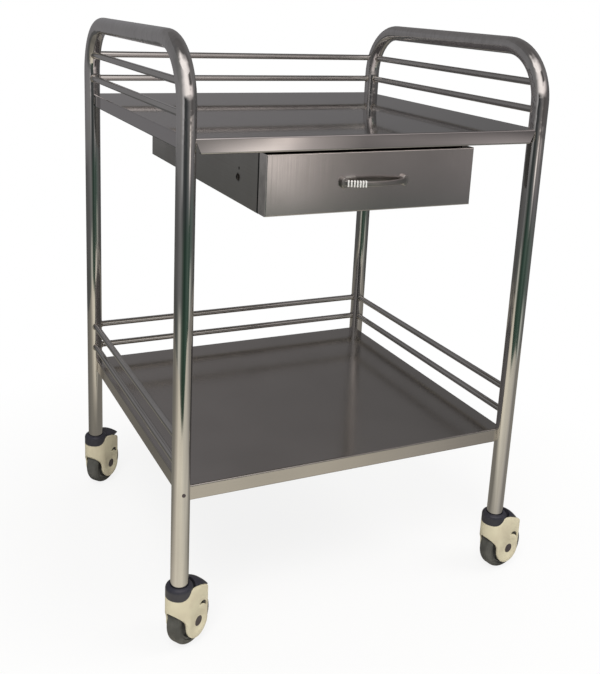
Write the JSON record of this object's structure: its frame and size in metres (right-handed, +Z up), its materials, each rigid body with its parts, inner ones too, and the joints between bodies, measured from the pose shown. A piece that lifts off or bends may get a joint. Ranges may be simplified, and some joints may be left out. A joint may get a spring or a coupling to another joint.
{
  "type": "instrument cart",
  "caption": "Stainless steel instrument cart with guarded shelves, a drawer under the top shelf, looped push frames and braked swivel casters.",
  "frame": {"origin": "on the floor, at the centre of the four legs", "axes": "+Z up, -Y towards the drawer's front, +X to the right as one faces the drawer"},
  "size_m": [0.6021, 0.5435, 0.8345],
  "materials": {
    "polished_tube": "polished stainless steel",
    "polished_rod": "polished stainless steel",
    "shelf_sheet": "smooth stainless sheet, half mirror",
    "drawer_sheet": "satin stainless sheet",
    "bright_handle": "bright plated",
    "plated_hardware": "zinc plated",
    "beige_plastic": "moulded, semi-matte",
    "dark_plastic": "moulded, semi-matte",
    "hub_plastic": "moulded",
    "tread": "smooth thermoplastic rubber"
  },
  "bodies": {
    "frame": {"left_side_frame": "polished_tube", "right_side_frame": "polished_tube", "vent_plugs": "dark_plastic", "top_shelf": "shelf_sheet", "bottom_shelf": "shelf_sheet", "bottom_shelf_stiffener": "shelf_sheet", "drawer_housing": "drawer_sheet", "left_runner": "plated_hardware", "right_runner": "plated_hardware", "housing_screws": "plated_hardware", "top_left_lower_rail": "polished_rod", "top_left_upper_rail": "polished_rod", "top_right_lower_rail": "polished_rod", "top_right_upper_rail": "polished_rod", "top_rear_lower_rail": "polished_rod", "top_rear_upper_rail": "polished_rod", "bottom_left_lower_rail": "polished_rod", "bottom_left_upper_rail": "polished_rod", "bottom_right_lower_rail": "polished_rod", "bottom_right_upper_rail": "polished_rod", "bottom_rear_lower_rail": "polished_rod", "bottom_rear_upper_rail": "polished_rod", "caster_stem_fl": "plated_hardware", "caster_stem_fr": "plated_hardware", "caster_stem_rl": "plated_hardware", "caster_stem_rr": "plated_hardware"},
    "drawer": {"drawer_tray": "drawer_sheet", "drawer_front": "drawer_sheet", "drawer_handle": "bright_handle", "handle_screws": "plated_hardware", "left_slide": "plated_hardware", "right_slide": "plated_hardware"},
    "caster_fl": {"caster_housing_fl": "beige_plastic", "caster_collar_fl": "dark_plastic", "caster_axle_fl": "plated_hardware", "axle_caps_fl": "dark_plastic"},
    "wheel_fl": {"wheel_hub_fl": "hub_plastic", "tyre_fl": "tread"},
    "pedal_fl": {"brake_pedal_fl": "dark_plastic"},
    "caster_fr": {"caster_housing_fr": "beige_plastic", "caster_collar_fr": "dark_plastic", "caster_axle_fr": "plated_hardware", "axle_caps_fr": "dark_plastic"},
    "wheel_fr": {"wheel_hub_fr": "hub_plastic", "tyre_fr": "tread"},
    "pedal_fr": {"brake_pedal_fr": "dark_plastic"},
    "caster_rl": {"caster_housing_rl": "beige_plastic", "caster_collar_rl": "dark_plastic", "caster_axle_rl": "plated_hardware", "axle_caps_rl": "dark_plastic"},
    "wheel_rl": {"wheel_hub_rl": "hub_plastic", "tyre_rl": "tread"},
    "pedal_rl": {"brake_pedal_rl": "dark_plastic"},
    "caster_rr": {"caster_housing_rr": "beige_plastic", "caster_collar_rr": "dark_plastic", "caster_axle_rr": "plated_hardware", "axle_caps_rr": "dark_plastic"},
    "wheel_rr": {"wheel_hub_rr": "hub_plastic", "tyre_rr": "tread"},
    "pedal_rr": {"brake_pedal_rr": "dark_plastic"}
  },
  "joints": [
    {"name": "drawer_slide", "type": "slide", "parent": "frame", "child": "drawer", "axis": [0, -1, 0], "range_m": [0, 0.29]},
    {"name": "swivel_fl", "type": "hinge", "parent": "frame", "child": "caster_fl", "pos_m": [-0.2625, -0.2375, 0.09], "axis": [0, 0, 1], "continuous": true},
    {"name": "wheel_spin_fl", "type": "hinge", "parent": "caster_fl", "child": "wheel_fl", "pos_m": [-0.24531, -0.22634, 0.0375], "axis": [-0.5446, 0.8387, 0], "continuous": true},
    {"name": "brake_fl", "type": "hinge", "parent": "caster_fl", "child": "pedal_fl", "pos_m": [-0.24237, -0.22443, 0.087], "axis": [-0.5446, 0.8387, 0], "range_deg": [-20, 13]},
    {"name": "swivel_fr", "type": "hinge", "parent": "frame", "child": "caster_fr", "pos_m": [0.2625, -0.2375, 0.09], "axis": [0, 0, 1], "continuous": true},
    {"name": "wheel_spin_fr", "type": "hinge", "parent": "caster_fr", "child": "wheel_fr", "pos_m": [0.28269, -0.23394, 0.0375], "axis": [-0.1736, 0.9848, 0], "continuous": true},
    {"name": "brake_fr", "type": "hinge", "parent": "caster_fr", "child": "pedal_fr", "pos_m": [0.28613, -0.23333, 0.087], "axis": [-0.1736, 0.9848, 0], "range_deg": [-33, 0]},
    {"name": "swivel_rl", "type": "hinge", "parent": "frame", "child": "caster_rl", "pos_m": [-0.2625, 0.2375, 0.09], "axis": [0, 0, 1], "continuous": true},
    {"name": "wheel_spin_rl", "type": "hinge", "parent": "caster_rl", "child": "wheel_rl", "pos_m": [-0.2468, 0.25068, 0.0375], "axis": [-0.6428, 0.766, 0], "continuous": true},
    {"name": "brake_rl", "type": "hinge", "parent": "caster_rl", "child": "pedal_rl", "pos_m": [-0.24411, 0.25293, 0.087], "axis": [-0.6428, 0.766, 0], "range_deg": [0, 33]},
    {"name": "swivel_rr", "type": "hinge", "parent": "frame", "child": "caster_rr", "pos_m": [0.2625, 0.2375, 0.09], "axis": [0, 0, 1], "continuous": true},
    {"name": "wheel_spin_rr", "type": "hinge", "parent": "caster_rr", "child": "wheel_rr", "pos_m": [0.28025, 0.24775, 0.0375], "axis": [-0.5, 0.866, 0], "continuous": true},
    {"name": "brake_rr", "type": "hinge", "parent": "caster_rr", "child": "pedal_rr", "pos_m": [0.28329, 0.2495, 0.087], "axis": [-0.5, 0.866, 0], "range_deg": [0, 33]}
  ]
}
